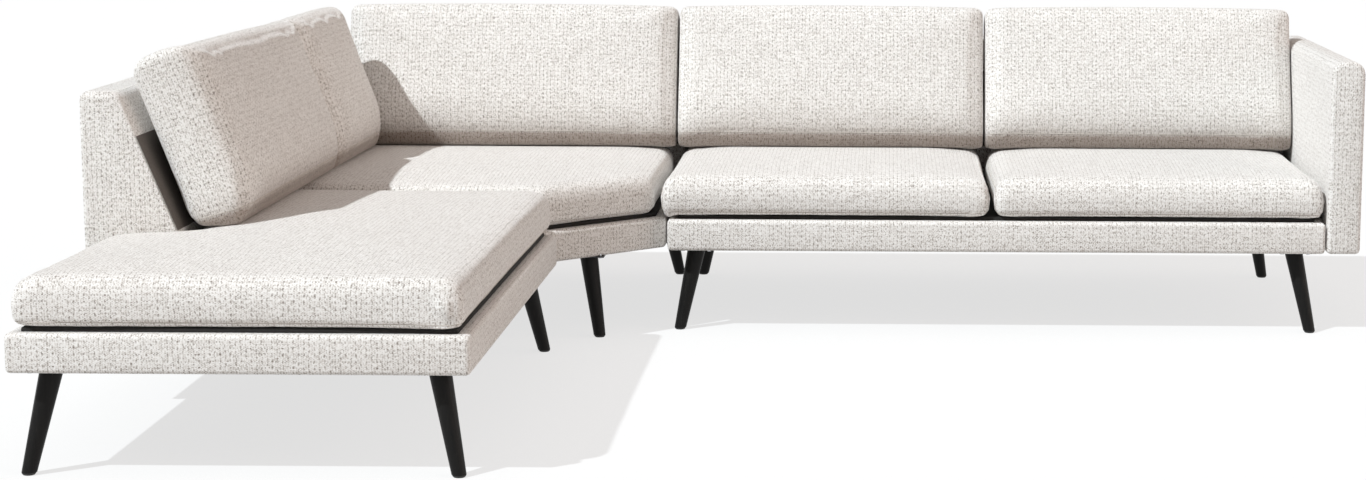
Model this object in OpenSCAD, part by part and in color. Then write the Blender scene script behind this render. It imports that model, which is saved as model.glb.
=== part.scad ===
// Upholstered corner sofa in three modules: an open-end seat, a corner and a two-seater
// with one arm. Loose box cushions stand on sprung timber bases with turned legs.
// The origin is on the floor, at the middle of the whole sofa's plan.

/* [Modules] */
// Depth of a straight module, from its front plane to the outside of its back
module_depth = 920; // [880:5:960]
// Width of the corner module along both walls
corner_size = 1165; // [1130:5:1220]
// Length of the open-end module along the side wall
open_len = 1320; // [1260:10:1440]
// Length of the two-seater's base, without its arm
two_seat_len = 1652; // [1580:4:1800]
// Gap between neighbouring modules
module_gap = 8; // [6:1:12]
// How far the corner's sloping front stands behind the line between its neighbours' corners
diagonal_setback = 46; // [40:1:60]

/* [Base] */
// Height of the base's underside above the floor
base_lift = 204; // [180:2:230]
// Height of the base band
base_h = 78; // [72:1:90]
// Thickness of the padded cover on the base
base_pad = 12; // [10:1:14]
// How far the base's rear side stands in front of the back's outside
back_panel_t = 28; // [26:1:34]
// Radius of the base band's soft edges
base_edge_r = 9; // [6:1:11]
// Height of the deck above the base band
deck_rise = 9; // [7:1:14]

/* [Timber and springs] */
// Thickness of the base rails
rail_t = 28; // [25:1:32]
// Thickness of the deck board under the back
deck_board_t = 9; // [6:1:12]
// Side of the blocks that carry the legs
block_w = 78; // [74:1:84]
// Thickness of the wire of the zigzag springs
wire_t = 3.5; // [3:0.25:4]
// Width of a zigzag spring
spring_w = 50; // [44:1:56]
// Distance from one zigzag spring to the next
spring_pitch = 130; // [110:5:160]
// Length of one bend of a zigzag spring
spring_bend = 46; // [40:1:60]

/* [Back and arm] */
// Height of the back and the arm above the floor
back_h = 688; // [650:2:740]
// Thickness of the back at its top
back_top_t = 80; // [74:1:90]
// Thickness of the back at the height of the seat
back_seat_t = 202; // [190:2:214]
// Height above the floor at which the back starts to lean
lean_start = 388; // [380:1:396]
// Length of the back of the open-end module
open_back_len = 705; // [660:5:740]
// Thickness of the padding on the back and the arm
back_pad = 14; // [12:1:16]
// Radius of the back's soft top edges
back_edge_r = 16; // [10:1:20]
// Width of the arm
arm_w = 84; // [76:1:96]
// Gap between the base and the arm
arm_gap = 4; // [3:1:6]
// Radius of the arm's soft top edges
arm_edge_r = 30; // [20:1:34]
// Thickness of the lining sewn to the lower part of the back
lining_t = 1.2; // [1:0.1:2]
// Height above the floor of the seam between the lining and the cover
lining_top = 593; // [560:1:610]

/* [Seat cushions] */
// Thickness of a seat cushion at its edges
seat_edge_h = 97; // [90:1:104]
// Rise of a seat cushion in its middle
seat_crown = 19; // [12:1:24]
// Radius of a seat cushion's upper edges
seat_edge_r = 30; // [24:1:34]
// How far the seat cushions reach over the corner module's edge
seat_overlap = 22; // [16:1:28]
// Radius of the cushions' corners in plan
corner_r = 28; // [20:1:36]
// How far the cushion sides are drawn in between their corners
draw_in = 3; // [1:0.5:5]

/* [Back cushions] */
// Height of a back cushion along its lean
back_cushion_h = 380; // [350:2:384]
// Thickness of a back cushion at its edges
back_cushion_t = 152; // [140:1:156]
// Lean of the back cushions from upright, in degrees
cushion_lean = 20; // [19:0.5:21]
// Swell of a back cushion's front in its middle
front_crown = 15; // [8:1:20]
// Rise of a back cushion's top edge in its middle
top_crown = 5; // [4:1:14]
// Radius of a back cushion's edges
back_cushion_r = 32; // [26:1:36]
// Radius of a back cushion's upper corners, seen from the front
upper_corner_r = 12; // [8:1:24]
// Radius of a back cushion's lower corners, seen from the front
lower_corner_r = 20; // [12:1:32]
// How far the side wall's back cushion reaches beyond the module joint
side_overlap = 295; // [260:5:320]

/* [Legs] */
// Diameter of a leg at its top
leg_top_d = 45; // [40:1:50]
// Diameter of a leg at its foot
leg_foot_d = 29; // [26:1:34]
// Distance of a leg's top from the base's edges
leg_inset = 70; // [66:1:78]
// Distance of a rear leg's top from the base's rear edge
rear_leg_inset = 54; // [52:1:64]
// Distance of the corner's front leg from the sloping front
diagonal_leg_inset = 50; // [48:1:60]
// How far a leg's foot stands out from its top, each way
leg_splay = 41; // [30:1:44]
// Side of a leg's mounting plate
plate_w = 84; // [80:1:88]
// Thickness of the mounting plates
plate_t = 3; // [2.5:0.5:4]
// Height of the glide under a leg
glide_h = 5; // [4:0.5:7]
// Diameter of the stud that holds a leg
stud_d = 8; // [6:1:10]
// Diameter of the plate screws
screw_d = 4.5; // [4:0.5:5]

/* [Hidden] */
$fn = 48;

// One overrun serves all cuts
over = 10;
// Clearances: round a fixing, between soft pieces, where bars meet, round the cloth, and
// between neighbouring cushions
fixing_gap = 0.25;
soft_gap = 0.4;
mitre_gap = 0.4;
cloth_gap = 0.2;
seat_gap = 1;

// Small sizes of the hardware
nut_d = 2 * stud_d;
nut_h_share = 0.8;
nut_h = nut_h_share * stud_d;
stud_len = 46;
screw_len = 24;
head_h = 2.5;
screw_spread = plate_w / 2 - 2 * screw_d;
foot_out = leg_splay * (base_lift - glide_h / 2) / base_lift;
nut_lift = nut_d / 2 * leg_splay * sqrt(2) / base_lift + fixing_gap;
nut_room_d = nut_d + 2 * over;
nut_room_h = 2 * nut_lift + nut_h + 2 * fixing_gap;
bolt_d = 8;
bolt_head_h = 5;
back_bolt_len = deck_board_t + base_pad + back_pad + screw_len;
arm_bolt_len = rail_t + base_pad + arm_gap + back_pad + screw_len;
link_w = 40;

// Small sizes of the timber, the springs and the cushions
block_h = 40;
board_t = 26;
rib_t = 18;
rib_pitch = 420;
wire_w = 5;
deck_hem = 10;
seat_swell = 3;
seat_lower_r = 10;
seat_lip = 4;
foam_inset = 16;
cushion_stand_off = 24;
rear_room = 0.6;
cushion_end_inset = 20;
corner_cushion_inset = 240;

// Where fixings sit, as shares of the length or depth that they follow
bolt_shares = [0.2, 0.5, 0.8];
arm_bolt_shares = [0.35, 0.65];
link_shares = [0.3, 0.7];
arm_post_shares = [0, 0.5, 1];
cross_rail_share = 0.3;
// Place of the corner seat's middle, as a share of the module's depth
corner_centre_share = 0.27;
// Scale of the rings that make a crowned face
crown_shares = [0.78, 0.5, 0.25];

// How finely the rounded corners, edges and drawn-in sides are stepped
corner_steps = 3;
edge_arcs = 3;
side_steps = 4;

// Colours of the finishes
woven = "#d9d0c8";
woven_shade = "#cfc5bc";
lining_brown = "#6f645c";
black_stain = "#1c1b1b";
black_steel = "#26272a";
zinc = "#b9bcc0";
pine = "#d8b98a";
felt_grey = "#5b5856";
foam_cream = "#efe3c4";

// Levels
base_top = base_lift + base_h;
deck_top = base_top + deck_rise;
lip_t = 2;
rail_z = base_lift + lip_t;
rail_top = base_top - base_pad;
spring_top = rail_top + wire_t;
seat_bottom = deck_top + soft_gap;

// Plan of the modules: the two-seater starts at zero and runs along the rear wall, and the
// open end mirrors it about the corner's diagonal
offset_to_side = corner_size - module_depth;
base_depth = module_depth - back_panel_t;
back_inner = module_depth - back_seat_t;
back_top_inner = module_depth - back_top_t;
arm_x = two_seat_len + arm_gap;
sofa_right = arm_x + arm_w;
sofa_front = -offset_to_side - open_len;
middle = [(sofa_right - corner_size) / 2, (module_depth + sofa_front) / 2];

// Covers: width of the lips that wrap round the rails
lip_w = base_pad + rail_t / 2;
deck_inset = lip_w + soft_gap;

// A polygon's corners rounded with short chords: each point is [x, y, radius]
function unit(v) = v / norm(v);
function rounded_corner(a, b, c) =
    let (p = [b.x, b.y], to_a = unit([a.x, a.y] - p), to_c = unit([c.x, c.y] - p),
         half = acos(to_a * to_c) / 2, reach = b.z / tan(half),
         bisector = unit(to_a + to_c), pivot = p + bisector * b.z / sin(half),
         start = p + to_a * reach - pivot, finish = p + to_c * reach - pivot,
         turn = 180 - 2 * half, side = sign(start.x * finish.y - start.y * finish.x))
    b.z == 0 ? [p] : [for (i = [0 : corner_steps])
        let (t = side * turn * i / corner_steps)
        pivot + [start.x * cos(t) - start.y * sin(t), start.x * sin(t) + start.y * cos(t)]];
function rounded(pts) =
    let (n = len(pts))
    [for (i = [0 : n - 1]) each rounded_corner(pts[(i + n - 1) % n], pts[i], pts[(i + 1) % n])];

// Puts a piece drawn in the rear wall's run on the side wall's run
module on_side() {
    translate([-offset_to_side, -offset_to_side, 0]) mirror([1, 1, 0]) children();
}

// Stands an outline of [depth, height] along the run from one length to another
module along(from, to) {
    translate([from, 0, 0]) rotate([90, 0, 90]) linear_extrude(to - from) children();
}

// Stands an outline of [length, height] across the run from one depth to another
module across(from, to) {
    translate([0, to, 0]) rotate([90, 0, 0]) linear_extrude(to - from) children();
}

// A flat box between two corners
module span(low, high) {
    translate(low) cube(high - low);
}

// Base bands

// Outline of a straight base in plan, drawn in by some distance
function straight_plan(len, inset) = [
    [inset, inset], [len - inset, inset], [len - inset, base_depth - inset], [inset, base_depth - inset]];

// Outline of the corner base in plan: four square sides and the sloping front
function corner_plan(inset) =
    let (right = -module_gap - inset, rear = base_depth - inset, slope = (diagonal_setback + inset) * sqrt(2),
         left = -offset_to_side - rear, near = -offset_to_side - right)
    [[right, right + slope], [right, rear], [left, rear], [left, near], [near - slope, near]];

// Openings in the cover over the springs, which the decks fill
function straight_deck_plan(len, back_len, inset) =
    let (slack = inset - lip_w, rear = back_inner - deck_hem - slack, step = back_len + deck_hem + slack,
         end = len - inset, far = base_depth - inset)
    back_len >= len ? [[inset, inset], [end, inset], [end, rear], [inset, rear]]
    : [[inset, inset], [end, inset], [end, far], [step, far], [step, rear], [inset, rear]];
function corner_deck_plan(inset) =
    let (right = -module_gap - inset, rear = back_inner - deck_hem - inset + lip_w,
         slope = (diagonal_setback + inset) * sqrt(2),
         left = -offset_to_side - rear, near = -offset_to_side - right)
    [[right, right + slope], [right, rear], [left, rear], [left, near], [near - slope, near]];

function with_radius(pts, r) = [for (p = pts) [p.x, p.y, r]];

// The soft edges of a band, seen from its end
module band_profile(from, to) {
    polygon(rounded([[from, base_lift, base_edge_r], [to, base_lift, base_edge_r],
        [to, base_top, base_edge_r], [from, base_top, base_edge_r]]));
}

// What every base cover has cut from its padded body: room for the rails, the openings
// for the deck and the dust cover, and the holes for the fixings
module base_cover_cuts(inner_plan, lower_plan, deck_plan) {
    translate([0, 0, rail_z]) linear_extrude(rail_top - rail_z) polygon(inner_plan);
    translate([0, 0, base_lift - over]) linear_extrude(over + lip_t + over) polygon(lower_plan);
    translate([0, 0, rail_top - over]) linear_extrude(over + base_pad + over) polygon(deck_plan);
}

module straight_base_cover(len, back_len) {
    difference() {
        intersection() {
            translate([0, 0, base_lift]) linear_extrude(base_h)
                polygon(rounded(with_radius(straight_plan(len, 0), base_edge_r)));
            along(0, len) band_profile(0, base_depth);
            across(0, base_depth) band_profile(0, len);
        }
        base_cover_cuts(straight_plan(len, base_pad), straight_plan(len, lip_w),
            straight_deck_plan(len, back_len, lip_w));
    }
}

module corner_base_body() {
    plan = corner_plan(0);
    far = 2 * corner_size;
    difference() {
        intersection() {
            translate([0, 0, base_lift]) linear_extrude(base_h)
                polygon(rounded(with_radius(plan, base_edge_r)));
            along(-far, far) band_profile(plan[3].y, plan[1].y);
            across(-far, far) band_profile(plan[2].x, plan[0].x);
            rotate([0, 0, 45]) along(-far, far) band_profile(diagonal_setback, far);
        }
        base_cover_cuts(corner_plan(base_pad), corner_plan(lip_w), corner_deck_plan(lip_w));
    }
}

// The deck: felt over the springs, a little prouder than the band
module deck_slab(plan) {
    color(felt_grey) translate([0, 0, spring_top + soft_gap])
        linear_extrude(deck_top - spring_top - soft_gap) polygon(plan);
}

// The black cloth that closes a base from below
module dust_cloth(plan) {
    color(black_steel) translate([0, 0, base_lift]) linear_extrude(lip_t - cloth_gap) polygon(plan);
}

// Timber

// Rails mitred round a plan, as separate bars
module rail_ring(outer, inner) {
    n = len(outer);
    for (i = [0 : n - 1]) {
        j = (i + 1) % n;
        e = unit(outer[j] - outer[i]) * mitre_gap;
        translate([0, 0, rail_z]) linear_extrude(rail_top - rail_z)
            polygon([outer[i] + e, outer[j] - e, inner[j] - e, inner[i] + e]);
    }
}

// Frame of a straight base: rails, the rail that ends the springs, a cross rail, a deck
// board under the back and a block over each leg
module straight_rails(len, back_len, cross_x, legs) {
    low = base_pad + rail_t + mitre_gap;
    right = len - low;
    rear = base_depth - low;
    board_to = back_len < len ? back_len : right;
    color(pine) difference() {
        union() {
            rail_ring(straight_plan(len, base_pad), straight_plan(len, base_pad + rail_t));
            span([low, back_inner - rail_t, rail_z], [board_to, back_inner, rail_top]);
            span([low, back_inner + mitre_gap, rail_top - deck_board_t], [board_to, rear, rail_top]);
            span([cross_x, low, rail_z], [cross_x + rail_t, back_inner - rail_t - mitre_gap, rail_top]);
            if (back_len < len)
                span([board_to + mitre_gap, low, rail_z], [board_to + rail_t, rear, rail_top]);
            for (leg = legs)
                leg_block([leg[2] < 0 ? low : right - block_w, leg[3] < 0 ? low : rear - block_w]);
        }
        children();
    }
}

// A block over a leg, in the corner between two rails
module leg_block(at) {
    translate([at.x, at.y, rail_z]) cube([block_w, block_w, block_h]);
}

module corner_base_rails() {
    low = base_pad + rail_t + mitre_gap;
    inner = corner_plan(low);
    spring_x = -offset_to_side - back_inner;
    color(pine) difference() {
        union() {
            rail_ring(corner_plan(base_pad), corner_plan(base_pad + rail_t));
            span([inner[2].x, back_inner - rail_t, rail_z], [inner[1].x, back_inner, rail_top]);
            span([spring_x, inner[3].y, rail_z],
                [spring_x + rail_t, back_inner - rail_t - mitre_gap, rail_top]);
            span([inner[2].x, back_inner + mitre_gap, rail_top - deck_board_t],
                [inner[1].x, inner[1].y, rail_top]);
            span([inner[3].x, inner[3].y, rail_top - deck_board_t],
                [spring_x - mitre_gap, back_inner - rail_t - mitre_gap, rail_top]);
            leg_block([inner[1].x - block_w, inner[1].y - block_w]);
            leg_block([inner[2].x, inner[2].y - block_w]);
            leg_block([inner[3].x, inner[3].y]);
            rotate([0, 0, 45])
                translate([-block_w / 2 - offset_to_side / sqrt(2), diagonal_setback + low, rail_z])
                cube([block_w, block_w, block_h]);
        }
        children();
    }
}

// Zigzag springs

// One spring of square wire, laid from front to rear on top of the rails
module zigzag(x, front, rear) {
    n = max(2, floor((rear - front) / spring_bend));
    reach = (spring_w - wire_w) / 2;
    bends = [for (i = [0 : n])
        let (side = i == 0 || i == n ? 0 : i % 2 == 0 ? 1 : -1)
        [x - wire_w / 2 + side * reach, front + i * (rear - front) / n]];
    translate([0, 0, rail_top]) linear_extrude(wire_t)
        polygon(concat(bends, [for (i = [n : -1 : 0]) bends[i] + [wire_w, 0]]));
}

// Legs

// Places of the legs' tops, and the way in which each leg leans
two_seat_legs_at = [
    for (x = [leg_inset, two_seat_len - leg_inset], y = [leg_inset, base_depth - rear_leg_inset])
    [x, y, x < two_seat_len / 2 ? -1 : 1, y < base_depth / 2 ? -1 : 1]];
open_end_legs_at = [for (x = [leg_inset, open_len - leg_inset], y = [leg_inset, base_depth - leg_inset])
    [x, y, x < open_len / 2 ? -1 : 1, y < base_depth / 2 ? -1 : 1]];
corner_diagonal_mid = [-offset_to_side / 2, -offset_to_side / 2]
    + (diagonal_setback + diagonal_leg_inset) * [-1, 1] / sqrt(2);
corner_legs_at = [
    [corner_diagonal_mid.x, corner_diagonal_mid.y, 1 / sqrt(2), -1 / sqrt(2)],
    [-module_gap - leg_inset, base_depth - rear_leg_inset, 1, 1],
    [-base_depth - offset_to_side + rear_leg_inset, module_gap - offset_to_side + leg_inset, -1, -1],
    [-base_depth - offset_to_side + rear_leg_inset, base_depth - rear_leg_inset, -1, 1]
];

// Stands a child, drawn on the origin, on the leaning axis of a leg at the base's underside
module on_leg_axis(leg) {
    lean = atan(leg_splay * norm([leg[2], leg[3]]) / base_lift);
    translate([leg.x, leg.y, base_lift])
        rotate([0, 0, atan2(leg[3], leg[2])]) rotate([0, -lean, 0]) children();
}

// Puts a child at each of a plate's four screws
module at_screws(leg) {
    for (x = [-1, 1], y = [-1, 1])
        translate([leg.x + x * screw_spread, leg.y + y * screw_spread, base_lift]) children();
}

// Turned legs: cones trimmed level at the plate and the glide, bored for the stud
module leg_set(legs) {
    taper = (leg_top_d - leg_foot_d) / base_lift;
    color(black_stain) for (leg = legs) difference() {
        intersection() {
            on_leg_axis(leg) translate([0, 0, -base_lift - leg_top_d])
                cylinder(h = base_lift + 2 * leg_top_d, d1 = leg_foot_d - taper * leg_top_d,
                    d2 = leg_top_d + taper * leg_top_d);
            translate([leg.x - base_lift, leg.y - base_lift, glide_h])
                cube([2 * base_lift, 2 * base_lift, base_lift - plate_t - glide_h]);
        }
        on_leg_axis(leg) translate([0, 0, -stud_len])
            cylinder(h = stud_len + over, d = stud_d + 2 * fixing_gap);
    }
}

// Glides: low discs with a soft lower edge
module glide_set(legs) {
    glide_r = leg_foot_d / 2 - glide_h / 4;
    color(black_steel) for (leg = legs)
        translate([leg.x + leg[2] * foot_out, leg.y + leg[3] * foot_out, 0])
            rotate_extrude() polygon([[0, 0], [glide_r - glide_h / 2, 0], [glide_r, glide_h / 2],
                [glide_r, glide_h], [0, glide_h]]);
}

// Square steel plates between the legs and the base
module plate_set(legs) {
    color(black_steel) for (leg = legs) difference() {
        translate([leg.x - plate_w / 2, leg.y - plate_w / 2, base_lift - plate_t])
            cube([plate_w, plate_w, plate_t]);
        on_leg_axis(leg) translate([0, 0, -over]) cylinder(h = 2 * over, d = stud_d + 2 * fixing_gap);
        at_screws(leg) translate([0, 0, -plate_t - over])
            cylinder(h = plate_t + 2 * over, d = screw_d + 2 * fixing_gap);
    }
}

// Studs with nuts on the legs' axes, and four screws through each plate
module fixing_set(legs) {
    color(zinc) for (leg = legs) {
        on_leg_axis(leg) {
            translate([0, 0, -stud_len]) cylinder(h = stud_len + nut_lift + nut_h, d = stud_d);
            translate([0, 0, nut_lift]) cylinder(h = nut_h, d = nut_d, $fn = 6);
        }
        at_screws(leg) {
            translate([0, 0, -plate_t - head_h]) cylinder(h = head_h, d = 2 * screw_d);
            translate([0, 0, -plate_t]) cylinder(h = plate_t + screw_len, d = screw_d);
        }
    }
}

// The room that a leg's fixings need in the cover, the cloth and the timber above
module fixing_room(legs) {
    for (leg = legs) {
        translate([leg.x, leg.y, base_lift - over]) cylinder(h = over + nut_room_h, d = nut_room_d);
        at_screws(leg) translate([0, 0, -over])
            cylinder(h = over + screw_len + fixing_gap, d = screw_d + 2 * fixing_gap);
    }
}

// Backs

// Depth of the back's inner face at a height
back_slope = (back_top_inner - back_inner) / (back_h - lean_start);
function back_face(z) = back_inner + max(0, z - lean_start) * back_slope;

// Outline of the back in [depth, height], with its panel hanging behind the base
module back_outline() {
    polygon(rounded([
        [module_depth, base_lift, back_edge_r / 2], [module_depth, back_h, back_edge_r],
        [back_top_inner, back_h, back_edge_r], [back_inner, lean_start, 0],
        [back_inner, base_top + soft_gap, 0], [base_depth + soft_gap, base_top + soft_gap, 0],
        [base_depth + soft_gap, base_lift, back_edge_r / 2]]));
}

// Outline of the timber inside the back, left free by the padding
module back_core(grow) {
    pad = back_pad - grow;
    polygon([[module_depth - pad, base_top + pad], [module_depth - pad, back_h - pad],
        [back_top_inner + pad, back_h - pad], [back_inner + pad, lean_start],
        [back_inner + pad, base_top + pad]]);
}

// The two boards that run along the back
module back_boards(grow) {
    translate([base_depth - board_t - grow, base_top + back_pad - grow])
        square([board_t, board_t] + [2 * grow, 2 * grow]);
    translate([back_inner + back_pad - grow, base_top + back_pad - grow])
        square([board_t, rail_t] + [2 * grow, 2 * grow]);
    translate([module_depth - back_pad - board_t - grow, back_h - back_pad - board_t - grow])
        square([rail_t, board_t] + [2 * grow, 2 * grow]);
}

// A padded back along a run, with the cavity for its frame
module back_shell(from, to) {
    difference() {
        along(from, to) back_outline();
        along(from + back_pad, to - back_pad) back_core(0);
    }
}

// The frame in a back: ribs cut from board, and boards from end to end
module back_timber(from, to) {
    first = from + back_pad + soft_gap;
    last = to - back_pad - soft_gap;
    ribs = max(2, round((last - first) / rib_pitch) + 1);
    pitch = (last - first - rib_t) / (ribs - 1);
    for (i = [0 : ribs - 1]) along(first + i * pitch, first + i * pitch + rib_t) difference() {
        back_core(-soft_gap);
        back_boards(2 * soft_gap);
    }
    along(first, last) intersection() {
        back_boards(-soft_gap);
        back_core(-soft_gap);
    }
}

// The lining on the lower part of the back's inner face. It starts where it stands behind
// the seats' rear, so that a seat can be lifted out.
lining_low = lean_start + (lining_t + soft_gap) / back_slope;
module back_lining(from, to) {
    outer = soft_gap + lining_t;
    along(from, to) polygon([
        [back_face(lining_low) - soft_gap, lining_low], [back_face(lining_top) - soft_gap, lining_top],
        [back_face(lining_top) - outer, lining_top], [back_face(lining_low) - outer, lining_low]]);
}

// Keeps the part of a corner back on its own side of the mitre
module mitred(gap) {
    rear = module_depth + over;
    front = back_inner - corner_r;
    intersection() {
        children();
        linear_extrude(back_h + over) polygon([[0, rear], [-offset_to_side - rear + gap, rear],
            [-offset_to_side - front + gap, front], [0, front]]);
    }
}

module corner_back_shell() {
    difference() {
        mitred(mitre_gap) along(-corner_size, -module_gap) back_outline();
        mitred(2 * back_pad) along(-corner_size, -module_gap - back_pad) back_core(0);
    }
}

module corner_back_timber() {
    mitred(2 * back_pad + soft_gap) {
        back_timber(-corner_size, -module_gap);
    }
}

// Bolts

// Bolts that hold the backs down on the deck boards: [length along the run, depth]
bolt_depth = (back_inner + back_pad + board_t / 2);
open_end_bolts = [for (share = bolt_shares) open_back_len * share];
corner_bolts = [for (share = bolt_shares) -module_gap - (corner_size - 2 * back_seat_t) * share];
two_seat_bolts = [for (share = bolt_shares) two_seat_len * share];
module back_bolt_set(places, gap) {
    for (x = places) translate([x, bolt_depth, rail_top - deck_board_t]) {
        translate([0, 0, -bolt_head_h - (gap > 0 ? over : 0)])
            cylinder(h = bolt_head_h + (gap > 0 ? over : 0), d = 2 * bolt_d + 2 * gap);
        cylinder(h = back_bolt_len + gap, d = bolt_d + 2 * gap);
    }
}

// Bolts through the base's end rail into the arm
module arm_bolt_set(gap) {
    for (share = arm_bolt_shares)
        translate([two_seat_len - base_pad - rail_t, base_depth * share, base_lift + base_h / 2])
            rotate([0, 90, 0]) {
            translate([0, 0, -bolt_head_h]) cylinder(h = bolt_head_h, d = 2 * bolt_d + 2 * gap);
            cylinder(h = arm_bolt_len + gap, d = bolt_d + 2 * gap);
        }
}

// Steel plates that join two modules from below, and their screws
link_reach = module_gap / 2 + base_pad + rail_t / 2;
module link_set() {
    for (share = link_shares) difference() {
        translate([-module_gap / 2 - link_reach - link_w / 2, base_depth * share - link_w / 2,
            base_lift - plate_t])
            cube([2 * link_reach + link_w, link_w, plate_t]);
        at_link_screws(share) translate([0, 0, -plate_t - over])
            cylinder(h = plate_t + 2 * over, d = screw_d + 2 * fixing_gap);
    }
}
module at_link_screws(share) {
    for (side = [-1, 1])
        translate([-module_gap / 2 + side * link_reach, base_depth * share, base_lift]) children();
}
module link_screw_set() {
    for (share = link_shares) at_link_screws(share) {
        translate([0, 0, -plate_t - head_h]) cylinder(h = head_h, d = 2 * screw_d);
        translate([0, 0, -plate_t]) cylinder(h = plate_t + screw_len, d = screw_d);
    }
}
module link_room() {
    for (share = link_shares) at_link_screws(share)
        translate([0, 0, -over]) cylinder(h = over + screw_len + fixing_gap, d = screw_d + 2 * fixing_gap);
}

// Cushions

// A cushion's outline: each corner is [x, y, radius, draw-in of the side that follows]
function cushion_outline(pts) =
    let (n = len(pts), arcs = [for (i = [0 : n - 1])
        rounded_corner(pts[(i + n - 1) % n], pts[i], pts[(i + 1) % n])])
    [for (i = [0 : n - 1])
        let (a = arcs[i][corner_steps], b = arcs[(i + 1) % n][0], inward = unit([a.y - b.y, b.x - a.x]))
        each concat(arcs[i], [for (k = [1 : side_steps])
            let (t = k / (side_steps + 1)) a + (b - a) * t + inward * pts[i][3] * sin(180 * t)])];

// A closed skin of rings: each step is [inset, scale about the centre, height]
module cushion_skin(outline, centre, half, steps, low, high) {
    n = len(outline);
    r = len(steps);
    rings = [for (s = steps, p = outline)
        [centre.x + (p.x - centre.x) * (1 - s[0] / half.x) * s[1],
         centre.y + (p.y - centre.y) * (1 - s[0] / half.y) * s[1], s[2]]];
    points = concat(rings, [[centre.x, centre.y, low], [centre.x, centre.y, high]]);
    walls = [for (k = [0 : r - 2], i = [0 : n - 1])
        let (j = (i + 1) % n, a = k * n + i, b = k * n + j, c = (k + 1) * n + j, d = (k + 1) * n + i)
        each [[a, d, b], [b, d, c]]];
    caps = [for (i = [0 : n - 1]) let (j = (i + 1) % n)
        each [[i, j, n * r], [(r - 1) * n + j, (r - 1) * n + i, n * r + 1]]];
    polyhedron(points, concat(walls, caps));
}

// Steps of a quarter round from a side to a face, and of the crown over the face
function edge_steps(r, sides, z, up) = [for (i = [0 : edge_arcs])
    let (t = 90 * (up ? i : edge_arcs - i) / edge_arcs)
    [sides + r * (1 - cos(t)), 1, z + (up ? r * sin(t) - r : r - r * sin(t))]];
function crown_at(share) = 1 - share * share;

// A seat cushion: flat below, sides swollen a little, edges soft and the top crowned
module seat_shape(corners, centre, half) {
    outline = cushion_outline(corners);
    top = seat_bottom + seat_edge_h;
    steps = concat(edge_steps(seat_lower_r, seat_swell, seat_bottom, false),
        [[0, 1, (seat_bottom + top) / 2]], edge_steps(seat_edge_r, seat_swell, top, true),
        [for (s = crown_shares) [seat_edge_r + seat_swell, s, top + seat_crown * crown_at(s)]]);
    cushion_skin(outline, centre, half, steps, seat_bottom, top + seat_crown);
}

module foam_block(plan, gap) {
    translate([0, 0, seat_bottom + foam_inset - gap])
        linear_extrude(seat_edge_h - 2 * foam_inset + 2 * gap) polygon(plan);
}

// Outline of the open-end seat in its run: wide beyond the back, narrow in front of it, with
// a tight inner corner at the back's end
function open_seat_corners(inset) =
    let (rear = back_inner - soft_gap - inset, far = base_depth - inset,
         step = open_back_len + seat_gap + inset, near = -seat_overlap + inset)
    [[near, inset, corner_r, draw_in], [open_len - inset, inset, corner_r, draw_in],
     [open_len - inset, far, corner_r, draw_in], [step, far, corner_r, draw_in / 2],
     [step, rear, seat_gap, draw_in / 2], [near, rear, corner_r, draw_in]];
open_seat_centre = [open_back_len + back_seat_t / 2, back_inner / 2];
open_seat_half = [open_seat_centre.x + seat_overlap, open_seat_centre.y];

// Outline of the corner seat
function corner_seat_corners(inset) =
    let (right = -seat_overlap - seat_gap - inset, rear = back_inner - soft_gap - inset,
         slope = (diagonal_setback - seat_lip + inset) * sqrt(2),
         left = -offset_to_side - rear, near = -offset_to_side - right)
    [[right, right + slope, corner_r, draw_in], [right, rear, corner_r, draw_in],
     [left, rear, corner_r, draw_in], [left, near, corner_r, draw_in], [near - slope, near, corner_r, 0]];
corner_seat_centre = module_depth * corner_centre_share * [-1, 1] - [offset_to_side, 0];
corner_seat_half = [-corner_seat_centre.x - seat_overlap - seat_gap, back_inner - corner_seat_centre.y];

// Outline of a square seat between two lengths of the run
function square_seat_corners(from, to, inset) =
    let (rear = back_inner - soft_gap - inset)
    [[from + inset, inset, corner_r, draw_in], [to - inset, inset, corner_r, draw_in],
     [to - inset, rear, corner_r, draw_in], [from + inset, rear, corner_r, draw_in]];
two_seat_middle = (two_seat_len - seat_overlap) / 2;
left_seat_span = [-seat_overlap, two_seat_middle - seat_gap / 2];
right_seat_span = [two_seat_middle + seat_gap / 2, arm_x - soft_gap * 2];

module square_seat(run) {
    seat_shape(square_seat_corners(run[0], run[1], 0), [(run[0] + run[1]) / 2, back_inner / 2],
        [(run[1] - run[0]) / 2, back_inner / 2]);
}
function plain(corners) = [for (p = corners) [p.x, p.y]];

// Back cushions: drawn lying on their rear face, then leant on the back
stand_v = back_inner - cushion_stand_off;
low_edge_v = stand_v - back_cushion_r * (cos(cushion_lean) - sin(cushion_lean));
seat_share_there = (low_edge_v - back_inner / 2) / (back_inner / 2 - seat_edge_r);
low_edge_z = seat_bottom + seat_edge_h + seat_crown * max(0, crown_at(min(1, seat_share_there))) + soft_gap;
lowest_arc = cos(cushion_lean) + sin(cushion_lean) - cos(90 / edge_arcs - cushion_lean);
stand_z = low_edge_z - back_cushion_r * lowest_arc;
cushion_mid_z = stand_z + back_cushion_h / 2 * cos(cushion_lean);
cushion_mid_v = stand_v + back_cushion_h / 2 * sin(cushion_lean);
rear_crown = (back_face(cushion_mid_z) - soft_gap - lining_t - cushion_mid_v) * cos(cushion_lean) - rear_room;
front_foot = stand_v - back_cushion_t * cos(cushion_lean);

module leant() {
    translate([0, stand_v, stand_z]) rotate([90 - cushion_lean, 0, 0]) children();
}

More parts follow.
